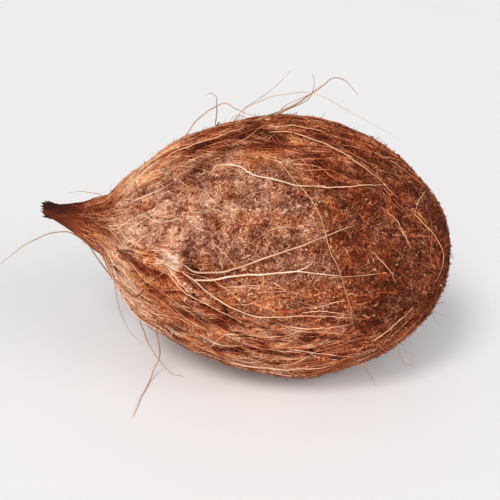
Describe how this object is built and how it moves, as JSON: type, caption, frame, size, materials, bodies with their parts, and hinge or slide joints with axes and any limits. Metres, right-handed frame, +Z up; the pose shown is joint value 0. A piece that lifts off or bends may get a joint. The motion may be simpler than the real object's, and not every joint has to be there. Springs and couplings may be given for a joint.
{
  "type": "coconut",
  "caption": "Husked brown coconut lying on its side, an egg-shaped nut in a matted fibre coat with the pointed tuft of husk left on one end, resting on a small flat spot.",
  "frame": {"origin": "on the surface the coconut rests on, under the middle of its bounding box", "axes": "+X runs along the coconut from its pointed tuft to its blunt end, +Z is up; the nut's own axis lies in the XZ plane and rises 5 degrees towards the tuft"},
  "size_m": [0.1692, 0.106, 0.1044],
  "materials": {
    "husk": "dull matted coir fibre, red-brown with tan strands and a dark tip"
  },
  "bodies": {
    "root": {"coconut": "husk"}
  },
  "joints": []
}
